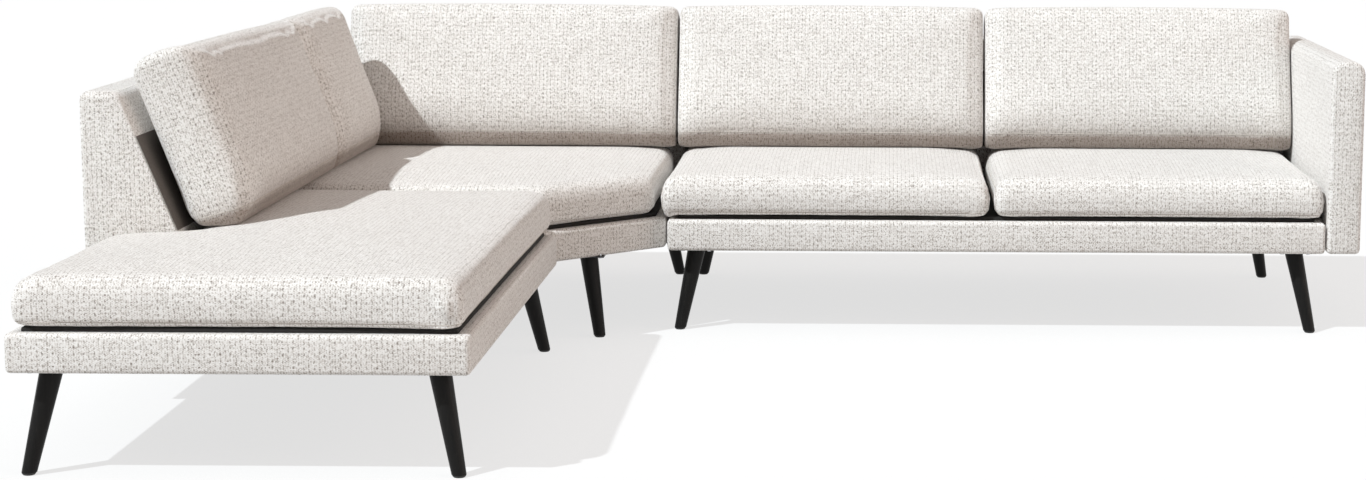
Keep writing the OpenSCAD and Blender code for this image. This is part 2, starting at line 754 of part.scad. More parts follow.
module back_cushion_shape(run) {
    mid = (run[0] + run[1]) / 2;
    half_w = (run[1] - run[0]) / 2 - seat_gap / 2;
    outline = cushion_outline([
        [mid - half_w, 0, lower_corner_r, 0], [mid + half_w, 0, lower_corner_r, draw_in],
        [mid + half_w, back_cushion_h, upper_corner_r, -top_crown],
        [mid - half_w, back_cushion_h, upper_corner_r, draw_in]]);
    steps = concat(
        [for (i = [len(crown_shares) - 1 : -1 : 0]) let (s = crown_shares[i])
            [back_cushion_r + seat_swell, s, -rear_crown * crown_at(s)]],
        edge_steps(back_cushion_r, seat_swell, 0, false), [[0, 1, back_cushion_t / 2]],
        edge_steps(back_cushion_r, seat_swell, back_cushion_t, true),
        [for (s = crown_shares)
            [back_cushion_r + seat_swell, s, back_cushion_t + front_crown * crown_at(s)]]);
    leant() cushion_skin(outline, [mid, back_cushion_h / 2], [half_w, back_cushion_h / 2], steps,
        -rear_crown, back_cushion_t + front_crown);
}

module back_foam_shape(run, gap) {
    inset = foam_inset + seat_gap / 2 - gap;
    leant() translate([run[0] + inset, inset, inset])
        cube([run[1] - run[0] - 2 * inset, back_cushion_h - 2 * inset, back_cushion_t - 2 * inset]);
}

// Spans of the back cushions along their walls, in the run of the wall that they lean on
side_run = [-side_overlap, open_back_len - cushion_end_inset];
short_run = [-offset_to_side - front_foot + soft_gap, -side_overlap];
rear_run = [-corner_size + corner_cushion_inset, -seat_overlap - seat_gap / 2];
left_run = [rear_run[1], two_seat_middle];
right_run = [two_seat_middle, arm_x - soft_gap];

// Modules of the sofa, piece by piece

module open_end_base_cover() {
    color(woven) on_side() difference() {
        straight_base_cover(open_len, open_back_len);
        fixing_room(open_end_legs_at);
        link_room();
        back_bolt_set(open_end_bolts, fixing_gap);
    }
}
module open_end_rails() {
    on_side() straight_rails(open_len, open_back_len, open_len * cross_rail_share, open_end_legs_at) {
        fixing_room(open_end_legs_at);
        link_room();
        back_bolt_set(open_end_bolts, fixing_gap);
    }
}
module open_end_springs() {
    step = open_back_len + rail_t / 2;
    color(black_steel) on_side()
        for (x = [lip_w + spring_w : spring_pitch : open_len - lip_w - spring_w / 2])
            if (abs(x - step) > spring_w)
                zigzag(x, lip_w + soft_gap,
                    (x > step ? base_depth - lip_w : back_inner - deck_hem) - soft_gap);
}
module open_end_deck() {
    on_side() deck_slab(straight_deck_plan(open_len, open_back_len, deck_inset));
}
module open_end_dust_cover() {
    on_side() difference() {
        dust_cloth(straight_plan(open_len, deck_inset));
        fixing_room(open_end_legs_at);
        link_room();
    }
}
module open_end_back_frame() {
    color(pine) on_side() difference() {
        back_timber(0, open_back_len);
        back_bolt_set(open_end_bolts, fixing_gap);
    }
}
module open_end_back_cover() {
    color(woven) on_side() difference() {
        back_shell(0, open_back_len);
        back_bolt_set(open_end_bolts, fixing_gap);
    }
}
module open_end_lining() {
    color(lining_brown) on_side() back_lining(0, open_back_len);
}
module open_end_legs() { on_side() leg_set(open_end_legs_at); }
module open_end_glides() { on_side() glide_set(open_end_legs_at); }
module open_end_leg_plates() { on_side() plate_set(open_end_legs_at); }
module open_end_leg_fixings() { on_side() fixing_set(open_end_legs_at); }

module corner_base_cover() {
    color(woven_shade) difference() {
        corner_base_body();
        corner_rooms();
    }
}
module corner_rooms() {
    fixing_room(corner_legs_at);
    link_room();
    on_side() link_room();
    back_bolt_set(corner_bolts, fixing_gap);
    on_side() back_bolt_set(corner_bolts, fixing_gap);
}
module corner_rails() {
    corner_base_rails() corner_rooms();
}
module corner_springs() {
    left = -offset_to_side - back_inner + rail_t + spring_w / 2 + over;
    right = -module_gap - lip_w - spring_w / 2;
    near = -offset_to_side + module_gap + lip_w + soft_gap;
    color(black_steel) for (x = [left : spring_pitch : right]) {
        slope_y = x + spring_w / 2 + (diagonal_setback + lip_w) * sqrt(2);
        zigzag(x, max(near, slope_y), back_inner - deck_hem - soft_gap);
    }
}
module corner_deck() { deck_slab(corner_deck_plan(deck_inset)); }
module corner_dust_cover() {
    difference() {
        dust_cloth(corner_plan(deck_inset));
        corner_rooms();
    }
}
module corner_back_frame() {
    color(pine) {
        difference() {
            corner_back_timber();
            back_bolt_set(corner_bolts, fixing_gap);
        }
        on_side() difference() {
            corner_back_timber();
            back_bolt_set(corner_bolts, fixing_gap);
        }
    }
}
module corner_back_cover() {
    color(woven_shade) {
        difference() {
            corner_back_shell();
            back_bolt_set(corner_bolts, fixing_gap);
        }
        on_side() difference() {
            corner_back_shell();
            back_bolt_set(corner_bolts, fixing_gap);
        }
    }
}
module corner_lining() {
    color(lining_brown) {
        mitred(mitre_gap) back_lining(-corner_size, -module_gap);
        on_side() mitred(mitre_gap) back_lining(-corner_size, -module_gap);
    }
}
module corner_legs() { leg_set(corner_legs_at); }
module corner_glides() { glide_set(corner_legs_at); }
module corner_leg_plates() { plate_set(corner_legs_at); }
module corner_leg_fixings() { fixing_set(corner_legs_at); }

module two_seat_base_cover() {
    color(woven) difference() {
        straight_base_cover(two_seat_len, two_seat_len);
        two_seat_rooms();
    }
}
module two_seat_rooms() {
    fixing_room(two_seat_legs_at);
    link_room();
    back_bolt_set(two_seat_bolts, fixing_gap);
    arm_bolt_set(fixing_gap);
}
module two_seat_rails() {
    straight_rails(two_seat_len, two_seat_len, (two_seat_len - rail_t) / 2, two_seat_legs_at)
        two_seat_rooms();
}
module two_seat_springs() {
    side_count = floor((two_seat_len / 2 - lip_w - spring_w / 2) / spring_pitch + 1 / 2);
    color(black_steel) for (side = [-1, 1], k = [1 : side_count])
        zigzag(two_seat_len / 2 + side * (k - 1 / 2) * spring_pitch, lip_w + soft_gap,
            back_inner - deck_hem - soft_gap);
}
module two_seat_deck() { deck_slab(straight_deck_plan(two_seat_len, two_seat_len, deck_inset)); }
module two_seat_dust_cover() {
    difference() {
        dust_cloth(straight_plan(two_seat_len, deck_inset));
        two_seat_rooms();
    }
}
module two_seat_back_frame() {
    color(pine) difference() {
        back_timber(0, two_seat_len);
        back_bolt_set(two_seat_bolts, fixing_gap);
    }
}
module two_seat_back_cover() {
    color(woven) difference() {
        back_shell(0, two_seat_len);
        back_bolt_set(two_seat_bolts, fixing_gap);
    }
}
module two_seat_lining() { color(lining_brown) back_lining(0, two_seat_len); }
module two_seat_legs() { leg_set(two_seat_legs_at); }
module two_seat_glides() { glide_set(two_seat_legs_at); }
module two_seat_leg_plates() { plate_set(two_seat_legs_at); }
module two_seat_leg_fixings() { fixing_set(two_seat_legs_at); }

// The arm: a padded panel that stands outside the base from its underside up
module arm_cover() {
    soft = back_edge_r / 2;
    color(woven) difference() {
        intersection() {
            across(0, module_depth) polygon(rounded([[arm_x, base_lift, soft], [sofa_right, base_lift, soft],
                [sofa_right, back_h, arm_edge_r], [arm_x, back_h, arm_edge_r]]));
            translate([0, 0, base_lift]) linear_extrude(back_h - base_lift)
                polygon(rounded(with_radius([[arm_x, 0], [sofa_right, 0], [sofa_right, module_depth],
                    [arm_x, module_depth]], soft)));
        }
        span([arm_x, 0, base_lift] + back_pad * [1, 1, 1],
            [sofa_right, module_depth, back_h - arm_edge_r / 2] - back_pad * [1, 1, 1]);
        arm_bolt_set(fixing_gap);
    }
}
module arm_frame() {
    low = [arm_x, 0, base_lift] + (back_pad + soft_gap) * [1, 1, 1];
    high = [sofa_right, module_depth, back_h - arm_edge_r / 2] - (back_pad + soft_gap) * [1, 1, 1];
    color(pine) difference() {
        union() {
            span(low, [high.x, high.y, low.z + 2 * rail_t]);
            span([low.x, low.y, high.z - board_t], high);
            for (share = arm_post_shares) {
                y = low.y + (high.y - low.y - rail_t) * share;
                span([low.x, y, low.z + 2 * rail_t + mitre_gap],
                    [high.x, y + rail_t, high.z - board_t - mitre_gap]);
            }
        }
        arm_bolt_set(fixing_gap);
    }
}
module frame_bolts() {
    color(zinc) {
        on_side() back_bolt_set(open_end_bolts, 0);
        on_side() back_bolt_set(corner_bolts, 0);
        back_bolt_set(corner_bolts, 0);
        back_bolt_set(two_seat_bolts, 0);
        arm_bolt_set(0);
    }
}
module module_links() {
    color(black_steel) {
        link_set();
        on_side() link_set();
    }
}
module link_screws() {
    color(zinc) {
        link_screw_set();
        on_side() link_screw_set();
    }
}

module open_end_seat_cushion() {
    color(woven) on_side() difference() {
        seat_shape(open_seat_corners(0), open_seat_centre, open_seat_half);
        foam_block(plain(open_seat_corners(foam_inset - soft_gap)), soft_gap);
    }
}
module open_end_seat_foam() {
    color(foam_cream) on_side() foam_block(plain(open_seat_corners(foam_inset)), 0);
}
module corner_seat_cushion() {
    color(woven_shade) difference() {
        seat_shape(corner_seat_corners(0), corner_seat_centre, corner_seat_half);
        foam_block(plain(corner_seat_corners(foam_inset - soft_gap)), soft_gap);
    }
}
module corner_seat_foam() { color(foam_cream) foam_block(plain(corner_seat_corners(foam_inset)), 0); }
module square_seat_cushion(run) {
    color(woven) difference() {
        square_seat(run);
        foam_block(plain(square_seat_corners(run[0], run[1], foam_inset - soft_gap)), soft_gap);
    }
}
module square_seat_foam(run) {
    color(foam_cream) foam_block(plain(square_seat_corners(run[0], run[1], foam_inset)), 0);
}
module left_seat_cushion() { square_seat_cushion(left_seat_span); }
module right_seat_cushion() { square_seat_cushion(right_seat_span); }
module left_seat_foam() { square_seat_foam(left_seat_span); }
module right_seat_foam() { square_seat_foam(right_seat_span); }

module back_cushion(run) {
    color(woven) difference() {
        back_cushion_shape(run);
        back_foam_shape(run, soft_gap);
    }
}
module side_back_cushion() { on_side() back_cushion(side_run); }
module short_back_cushion() { on_side() back_cushion(short_run); }
module rear_back_cushion() { back_cushion(rear_run); }
module left_back_cushion() { back_cushion(left_run); }
module right_back_cushion() { back_cushion(right_run); }
module side_back_foam() { color(foam_cream) on_side() back_foam_shape(side_run, 0); }
module short_back_foam() { color(foam_cream) on_side() back_foam_shape(short_run, 0); }
module rear_back_foam() { color(foam_cream) back_foam_shape(rear_run, 0); }
module left_back_foam() { color(foam_cream) back_foam_shape(left_run, 0); }
module right_back_foam() { color(foam_cream) back_foam_shape(right_run, 0); }

// Moves the drawing's zero to the middle of the sofa's plan
module placed() { translate([-middle.x, -middle.y, 0]) children(); }

placed() open_end_base_cover();
placed() open_end_rails();
placed() open_end_springs();
placed() open_end_deck();
placed() open_end_dust_cover();
placed() open_end_back_frame();
placed() open_end_back_cover();
placed() open_end_lining();
placed() open_end_legs();
placed() open_end_glides();
placed() open_end_leg_plates();
placed() open_end_leg_fixings();
placed() corner_base_cover();
placed() corner_rails();
placed() corner_springs();
placed() corner_deck();
placed() corner_dust_cover();
placed() corner_back_frame();
placed() corner_back_cover();
placed() corner_lining();
placed() corner_legs();
placed() corner_glides();
placed() corner_leg_plates();
placed() corner_leg_fixings();
placed() two_seat_base_cover();
placed() two_seat_rails();
placed() two_seat_springs();
placed() two_seat_deck();
placed() two_seat_dust_cover();
placed() two_seat_back_frame();
placed() two_seat_back_cover();
placed() two_seat_lining();
placed() two_seat_legs();
placed() two_seat_glides();
placed() two_seat_leg_plates();
placed() two_seat_leg_fixings();
placed() arm_cover();
placed() arm_frame();
placed() frame_bolts();
placed() module_links();
placed() link_screws();
placed() open_end_seat_cushion();
placed() corner_seat_cushion();
placed() left_seat_cushion();
placed() right_seat_cushion();
placed() open_end_seat_foam();
placed() corner_seat_foam();
placed() left_seat_foam();
placed() right_seat_foam();
placed() side_back_cushion();
placed() short_back_cushion();
placed() rear_back_cushion();
placed() left_back_cushion();
placed() right_back_cushion();
placed() side_back_foam();
placed() short_back_foam();
placed() rear_back_foam();
placed() left_back_foam();
placed() right_back_foam();
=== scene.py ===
from math import atan2, cos, pi, radians, sin, sqrt, tanh

import bmesh
import bpy
import numpy as np
from mathutils import Matrix, Vector, noise
from mathutils.bvhtree import BVHTree


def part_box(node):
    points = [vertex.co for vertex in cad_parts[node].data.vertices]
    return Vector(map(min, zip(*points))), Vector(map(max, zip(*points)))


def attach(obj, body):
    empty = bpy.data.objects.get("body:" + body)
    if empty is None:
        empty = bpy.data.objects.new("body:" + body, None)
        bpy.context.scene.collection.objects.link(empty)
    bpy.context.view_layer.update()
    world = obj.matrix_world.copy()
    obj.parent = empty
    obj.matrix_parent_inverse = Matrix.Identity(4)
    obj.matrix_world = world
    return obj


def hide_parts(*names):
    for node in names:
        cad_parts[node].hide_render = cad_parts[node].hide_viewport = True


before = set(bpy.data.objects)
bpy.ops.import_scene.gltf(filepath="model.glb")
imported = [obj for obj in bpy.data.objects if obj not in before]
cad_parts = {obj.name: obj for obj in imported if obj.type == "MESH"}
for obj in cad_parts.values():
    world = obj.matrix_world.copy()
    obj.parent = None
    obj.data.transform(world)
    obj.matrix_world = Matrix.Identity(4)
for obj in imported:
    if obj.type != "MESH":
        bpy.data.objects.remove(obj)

scene = bpy.context.scene
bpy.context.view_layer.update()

# Camera. A long lens that looks down a little on the sofa from chest height. It is framed
# off its axis, so the uprights stay upright.
camera = bpy.data.objects.new("camera", bpy.data.cameras.new("camera"))
scene.collection.objects.link(camera)
scene.camera = camera
camera.data.sensor_width = 36.0
camera.data.lens = 68.36
camera.data.shift_x = -0.148
camera.data.clip_end = 60.0
camera_pitch, camera_roll = radians(8.66), radians(0.33)
camera.matrix_world = (
    Matrix.Translation((0.2597, -6.1077, 1.2143))
    @ Matrix.Rotation(pi / 2 - camera_pitch, 4, "X")
    @ Matrix.Rotation(camera_roll, 4, "Z")
)

# Studio. A white floor that takes the sofa's shadow, an even white surround, a clear lamp
# high at the front left, and a broad warm fill that comes low from the right.
floor_mesh = bmesh.new()
bmesh.ops.create_circle(floor_mesh, cap_ends=True, radius=20.0, segments=64)
floor_data = bpy.data.meshes.new("floor")
floor_mesh.to_mesh(floor_data)
floor_mesh.free()
floor = bpy.data.objects.new("floor", floor_data)
scene.collection.objects.link(floor)
floor_paint = bpy.data.materials.new("floor_paint")
floor_paint.use_nodes = True
floor_tree = floor_paint.node_tree
floor_shader = floor_tree.nodes["Principled BSDF"]
floor_shader.inputs["Roughness"].default_value = 1.0
floor_shader.inputs["Specular IOR Level"].default_value = 0.0
floor_data.materials.append(floor_paint)

surround = bpy.data.worlds.new("surround")
scene.world = surround
surround.use_nodes = True
sky = surround.node_tree
sky_light = sky.nodes["Background"]
sky_light.inputs["Color"].default_value = (1.0, 0.92, 0.88, 1)
sky_light.inputs["Strength"].default_value = 0.30
sky_white = sky.nodes.new("ShaderNodeBackground")
sky_white.inputs["Strength"].default_value = 1.0


def seen_rays(tree):
    """One for a ray that shows a surface to the camera, straight or by a gloss, else zero."""
    rays = tree.nodes.new("ShaderNodeLightPath")
    seen = rays.outputs["Is Camera Ray"]
    for kind in ("Is Glossy Ray", "Is Transmission Ray"):
        either = tree.nodes.new("ShaderNodeMath")
        either.operation = "MAXIMUM"
        tree.links.new(seen, either.inputs[0])
        tree.links.new(rays.outputs[kind], either.inputs[1])
        seen = either.outputs[0]
    return seen


sky_mix = sky.nodes.new("ShaderNodeMixShader")
sky.links.new(seen_rays(sky), sky_mix.inputs["Fac"])
sky.links.new(sky_light.outputs[0], sky_mix.inputs[1])
sky.links.new(sky_white.outputs[0], sky_mix.inputs[2])
sky.links.new(sky_mix.outputs[0], sky.nodes["World Output"].inputs["Surface"])

glow_share = 0.72
floor_seen = seen_rays(floor_tree)
floor_tone = floor_tree.nodes.new("ShaderNodeMix")
floor_tone.data_type = "RGBA"
floor_tone.inputs["A"].default_value = (0.6, 0.59, 0.58, 1)
floor_tone.inputs["B"].default_value = (0.92, 0.92, 0.92, 1)
floor_tree.links.new(floor_seen, floor_tone.inputs["Factor"])
floor_tree.links.new(floor_tone.outputs["Result"], floor_shader.inputs["Base Color"])
floor_glow = floor_tree.nodes.new("ShaderNodeEmission")
floor_share = floor_tree.nodes.new("ShaderNodeMath")
floor_share.operation = "MULTIPLY"
floor_share.inputs[1].default_value = glow_share
floor_tree.links.new(floor_seen, floor_share.inputs[0])
floor_mix = floor_tree.nodes.new("ShaderNodeMixShader")
floor_tree.links.new(floor_share.outputs[0], floor_mix.inputs["Fac"])
floor_tree.links.new(floor_shader.outputs[0], floor_mix.inputs[1])
floor_tree.links.new(floor_glow.outputs[0], floor_mix.inputs[2])
floor_tree.links.new(floor_mix.outputs[0], floor_tree.nodes["Material Output"].inputs["Surface"])

for name, strength, tint, breadth, aim in (
    ("lamp", 3.3, (0.92, 0.975, 1.0), 1.2, (0.79, 0.60, -1.14)),
    ("fill", 1.0, (1.0, 0.79, 0.67), 70, (-1.0, 0.16, -0.16)),
):
    light_data = bpy.data.lights.new(name, "SUN")
    light_data.energy = strength
    light_data.color = tint
    light_data.angle = radians(breadth)
    light = bpy.data.objects.new(name, light_data)
    scene.collection.objects.link(light)
    light.rotation_euler = Vector(aim).to_track_quat("-Z", "Y").to_euler()

scene.view_settings.view_transform = "Standard"


# Timber frames. Planed pine rails and ribs, glued and screwed, that the covers hide. The
# grain runs along each bar in fine brown lines.
def new_finish(name, roughness, metallic=0.0):
    """A named material with its node tree and its surface shader."""
    made = bpy.data.materials.new(name)
    made.use_nodes = True
    shader = made.node_tree.nodes["Principled BSDF"]
    shader.inputs["Roughness"].default_value = roughness
    shader.inputs["Metallic"].default_value = metallic
    return made, made.node_tree, shader


def add_node(tree, kind, values=(), **settings):
    """A shader node with its settings made and its unlinked inputs filled."""
    made = tree.nodes.new(kind)
    for key, value in settings.items():
        setattr(made, key, value)
    for socket, value in dict(values).items():
        made.inputs[socket].default_value = value
    return made


def ramp(tree, source, stops):
    """A colour ramp fed by a value: each stop is its position and its colour."""
    made = tree.nodes.new("ShaderNodeValToRGB")
    while len(made.color_ramp.elements) < len(stops):
        made.color_ramp.elements.new(0.5)
    for element, (position, colour) in zip(made.color_ramp.elements, stops):
        element.position = position
        element.color = (*colour, 1)
    tree.links.new(source, made.inputs["Fac"])
    return made.outputs["Color"]


def bumped(tree, shader, height, strength, distance):
    """Lifts the surface by a height."""
    made = add_node(tree, "ShaderNodeBump", {"Strength": strength, "Distance": distance})
    tree.links.new(height, made.inputs["Height"])
    tree.links.new(made.outputs["Normal"], shader.inputs["Normal"])


def grained(name, roughness, stretch, stops, metallic=0.0, bump=0.15):
    """A finish with streaks that run along the stretched axis."""
    made, tree, shader = new_finish(name, roughness, metallic)
    place = add_node(tree, "ShaderNodeTexCoord")
    streaks = add_node(tree, "ShaderNodeMapping", {"Scale": stretch})
    lines = add_node(tree, "ShaderNodeTexNoise", {"Scale": 1.0, "Detail": 6.0, "Roughness": 0.6})
    tree.links.new(place.outputs["Object"], streaks.inputs["Vector"])
    tree.links.new(streaks.outputs["Vector"], lines.inputs["Vector"])
    tree.links.new(ramp(tree, lines.outputs["Fac"], stops), shader.inputs["Base Color"])
    bumped(tree, shader, lines.outputs["Fac"], bump, 0.0006)
    return made


def finish_nodes(names, finish):
    """Gives CAD nodes their material."""
    for name in names:
        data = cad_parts[name].data
        data.materials.clear()
        data.materials.append(finish)


modules = ("open_end", "corner", "two_seat")
pine = grained("pine", 0.62, (9, 9, 60),
               [(0.3, (0.62, 0.43, 0.24)), (0.55, (0.78, 0.6, 0.38)), (0.75, (0.85, 0.7, 0.49))])
timber_nodes = [f"{module}_{part}" for module in modules for part in ("rails", "back_frame")]
finish_nodes(timber_nodes + ["arm_frame"], pine)

# Legs. Turned beech cones with a black stain and a satin lacquer, fixed on a stud through a
# black steel plate, with four zinc screws and a plastic glide each.
black_stain = grained("black_stain", 0.46, (160, 160, 7),
                      [(0.3, (0.004, 0.004, 0.004)), (0.6, (0.008, 0.0075, 0.007)), (0.8, (0.016, 0.015, 0.014))])
black_stain.node_tree.nodes["Principled BSDF"].inputs["Specular IOR Level"].default_value = 0.16
black_steel = grained("black_steel", 0.5, (300, 300, 300),
                      [(0.35, (0.018, 0.018, 0.020)), (0.7, (0.035, 0.035, 0.038))], bump=0.3)
glide_black = grained("glide_black", 0.6, (400, 400, 400),
                      [(0.3, (0.012, 0.012, 0.012)), (0.7, (0.025, 0.025, 0.025))])
zinc = grained("zinc", 0.34, (240, 240, 60),
               [(0.3, (0.55, 0.56, 0.58)), (0.7, (0.74, 0.75, 0.77))], metallic=1.0)
finish_nodes([f"{module}_legs" for module in modules], black_stain)
finish_nodes([f"{module}_glides" for module in modules], glide_black)
finish_nodes([f"{module}_leg_plates" for module in modules] + ["module_links"], black_steel)
finish_nodes([f"{module}_leg_fixings" for module in modules] + ["frame_bolts", "link_screws"], zinc)

# Springs. Zigzag springs of oiled wire across each base, with a brown bloom on the steel.
spring_steel = grained("spring_steel", 0.4, (90, 90, 90),
                       [(0.35, (0.10, 0.09, 0.085)), (0.6, (0.22, 0.21, 0.2)), (0.8, (0.3, 0.27, 0.24))],
                       metallic=0.9)
finish_nodes([f"{module}_springs" for module in modules], spring_steel)

# Foam blocks. Cream upholstery foam, cut square, with fine open pores. One fills each of
# the loose cushions.
foam_cream, foam_tree, foam_shader = new_finish("foam_cream", 0.95)
foam_place = add_node(foam_tree, "ShaderNodeTexCoord")
foam_pores = add_node(foam_tree, "ShaderNodeTexVoronoi", {"Scale": 420.0})
foam_tree.links.new(foam_place.outputs["Object"], foam_pores.inputs["Vector"])
foam_tree.links.new(
    ramp(foam_tree, foam_pores.outputs["Distance"], [(0.1, (0.66, 0.58, 0.42)), (0.4, (0.88, 0.81, 0.64))]),
    foam_shader.inputs["Base Color"],
)
bumped(foam_tree, foam_shader, foam_pores.outputs["Distance"], 0.4, 0.001)


def soften(mesh, edges, radius, segments):
    """Rounds edges."""
    bmesh.ops.bevel(mesh, geom=edges, offset=radius, segments=segments, profile=0.5, affect="EDGES", material=-1)


foam_give, foam_soft = 0.006, 0.018
for name in [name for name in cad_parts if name.endswith("_foam")]:
    block = bmesh.new()
    block.from_mesh(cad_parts[name].data)
    bmesh.ops.remove_doubles(block, verts=block.verts, dist=2e-5)
    bmesh.ops.dissolve_limit(block, angle_limit=radians(1), verts=block.verts, edges=block.edges)
    for vert in block.verts:
        vert.co -= foam_give * sum((face.normal for face in vert.link_faces), Vector())
    soften(block, block.edges[:], foam_soft, 3)
    block_data = bpy.data.meshes.new(f"{name}_block")
    block.to_mesh(block_data)
    block.free()
    block_data.materials.append(foam_cream)
    block_data.shade_smooth()
    block_piece = bpy.data.objects.new(f"{name}_block", block_data)
    scene.collection.objects.link(block_piece)
    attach(block_piece, name.removesuffix("_foam"))
    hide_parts(name)


# Base covers. Padded bands in a thick flecked weave of cream and grey-brown yarn, pulled
# round the rails and stapled below. Each module has its own.
def weave(name, light, mid, recess, shade, across=0.020, rows=0.0125):
    """Woven cloth on the piece's own UV map, in metres: paired ribs and short floats that
    repeat across and along, with a dark fleck where the thin yarn crosses over. Where the
    piece's attribute under is one, the colour is multiplied by the shade colour: a painted
    shade for the shade under a cushion's turned-under front."""
    made, tree, shader = new_finish(name, 0.92)
    shader.inputs["Specular IOR Level"].default_value = 0.25
    shader.inputs["Sheen Weight"].default_value = 0.35
    shader.inputs["Sheen Roughness"].default_value = 0.5
    links = tree.links

    def maths(kind, *sources):
        step = add_node(tree, "ShaderNodeMath", operation=kind)
        for socket, source in zip(step.inputs, sources):
            if isinstance(source, (int, float)):
                socket.default_value = source
            else:
                links.new(source, socket)
        return step.outputs[0]

    def streaks(scale, detail):
        stretched = add_node(tree, "ShaderNodeMapping", {"Scale": scale})
        lines = add_node(tree, "ShaderNodeTexNoise", {"Scale": 1.0, "Detail": detail, "Roughness": 0.6})
        links.new(cloth.outputs["UV"], stretched.inputs["Vector"])
        links.new(stretched.outputs["Vector"], lines.inputs["Vector"])
        return maths("SUBTRACT", lines.outputs["Fac"], 0.5)

    def wave(source, times):
        return maths("COSINE", maths("MULTIPLY", source, 2 * pi * times))

    cloth = add_node(tree, "ShaderNodeUVMap", uv_map="weave")
    parts = add_node(tree, "ShaderNodeSeparateXYZ")
    links.new(cloth.outputs["UV"], parts.inputs["Vector"])
    warp_drift = maths("MULTIPLY", streaks((9, 14, 1), 1.0), 0.25)
    warp = maths("MULTIPLY_ADD", parts.outputs["X"], 1 / across, warp_drift)
    weft_drift = maths("MULTIPLY", streaks((14, 9, 1), 1.0), -0.30)
    weft = maths("MULTIPLY_ADD", parts.outputs["Y"], 1 / rows, weft_drift)

    slubs_across, slubs_along = 8, 5
    cell = add_node(tree, "ShaderNodeCombineXYZ")
    links.new(maths("FLOOR", maths("MULTIPLY", warp, slubs_across)), cell.inputs["X"])
    links.new(maths("FLOOR", maths("MULTIPLY", weft, slubs_along)), cell.inputs["Y"])
    slub = add_node(tree, "ShaderNodeTexWhiteNoise", noise_dimensions="2D")
    links.new(cell.outputs["Vector"], slub.inputs["Vector"])

    third, row = wave(warp, 3), wave(weft, 1)
    yarn = 0.62
    for pattern, strength in (
        (streaks((26, 330, 1), 2.0), 0.62),
        (streaks((330, 22, 1), 2.0), 0.40),
        (maths("SUBTRACT", slub.outputs["Value"], 0.5), 0.62),
        (wave(warp, 2), -0.07),
        (wave(warp, 4), -0.09),
        (row, 0.05),
        (maths("MULTIPLY", wave(warp, 1), row), -0.08),
        (maths("MULTIPLY", third, row), -0.10),
        (maths("MULTIPLY", third, wave(weft, 3)), -0.14),
    ):
        yarn = maths("MULTIPLY_ADD", pattern, strength, yarn)
    # Painted shade: the attribute under blends in a multiply by the shade colour.
    under = add_node(tree, "ShaderNodeAttribute", attribute_name="under")
    tint = add_node(tree, "ShaderNodeMix", data_type="RGBA", blend_type="MULTIPLY")
    tint.inputs["B"].default_value = (*shade, 1)
    links.new(under.outputs["Fac"], tint.inputs["Factor"])
    links.new(ramp(tree, yarn, [(0.05, recess), (0.5, mid), (0.85, light)]), tint.inputs["A"])
    links.new(tint.outputs["Result"], shader.inputs["Base Color"])
    bumped(tree, shader, yarn, 0.5, 0.0008)
    return made


def coordinates(data):
    places = np.zeros(len(data.vertices) * 3, np.float32)
    data.vertices.foreach_get("co", places)
    return places.reshape(-1, 3)


x_way, y_way, z_way = Vector((1, 0, 0)), Vector((0, 1, 0)), Vector((0, 0, 1))
flat_ways = [(x_way, y_way, z_way), (y_way, x_way, z_way), (z_way, x_way, y_way)]


def lay_cloth(data, directions):
    """Lays the weave on a mesh in metres: each face takes the direction that it faces most.
    A direction is (normal, along, up)."""
    counts = np.zeros(len(data.polygons), np.int32)
    data.polygons.foreach_get("loop_total", counts)
    normals = np.zeros(len(data.polygons) * 3, np.float32)
    data.polygons.foreach_get("normal", normals)
    facing = np.abs(normals.reshape(-1, 3) @ np.array([way[0] for way in directions]).T)
    chosen = np.repeat(facing.argmax(1), counts)
    corners = np.zeros(len(data.loops), np.int32)
    data.loops.foreach_get("vertex_index", corners)
    places = coordinates(data)[corners]
    along = np.array([way[1] for way in directions])[chosen]
    up = np.array([way[2] for way in directions])[chosen]
    cloth = np.stack([(places * along).sum(1), (places * up).sum(1)], 1)
    layer = data.uv_layers.get("weave") or data.uv_layers.new(name="weave")
    layer.data.foreach_set("uv", cloth.astype(np.float32).ravel())


def add_piece(name, mesh, material, replaced, directions=flat_ways, smooth=True):
    """Makes an object of a bmesh on the base, lays its cloth and hides the CAD nodes it replaces."""
    data = bpy.data.meshes.new(name)
    mesh.to_mesh(data)
    mesh.free()
    data.materials.append(material)
    if smooth:
        data.shade_smooth()
    piece = bpy.data.objects.new(name, data)
    scene.collection.objects.link(piece)
    lay_cloth(data, directions)
    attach(piece, "base")
    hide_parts(*replaced)


cream_light, cream_mid = (0.925, 0.908, 0.888), (0.73, 0.697, 0.664)
# The last colour multiplies the weave for the painted shade under the back cushions' fronts.
cream_recess, cream_shade = (0.22, 0.186, 0.162), (0.44, 0.39, 0.36)
cream_weave = weave("cream_weave", cream_light, cream_mid, cream_recess, cream_shade)

plan_middle = Vector((0.2875, -0.3225, 0))
turned_in = 0.245
base_low, base_high, base_soft = 0.204, 0.282, 0.010
base_lip, base_wall = 0.017, 0.007
straight_depth, joint_gap = 0.892, 0.008


def to_side(points):
    """Moves points drawn along the rear wall to the side wall, which mirrors it."""
    return [(-turned_in - y, -turned_in - x) for x, y in points]


def prism(points, low, high):
    """A closed prism on a plan that is drawn from the two-seat module's front left corner."""
    mesh = bmesh.new()
    ring = [mesh.verts.new(Vector((x, y, low)) - plan_middle) for x, y in points]
    mesh.faces.new(ring)
    top = bmesh.ops.extrude_face_region(mesh, geom=mesh.faces[:])["geom"]
    top_verts = [v for v in top if isinstance(v, bmesh.types.BMVert)]
    bmesh.ops.translate(mesh, vec=(0, 0, high - low), verts=top_verts)
    bmesh.ops.recalc_face_normals(mesh, faces=mesh.faces)
    return mesh


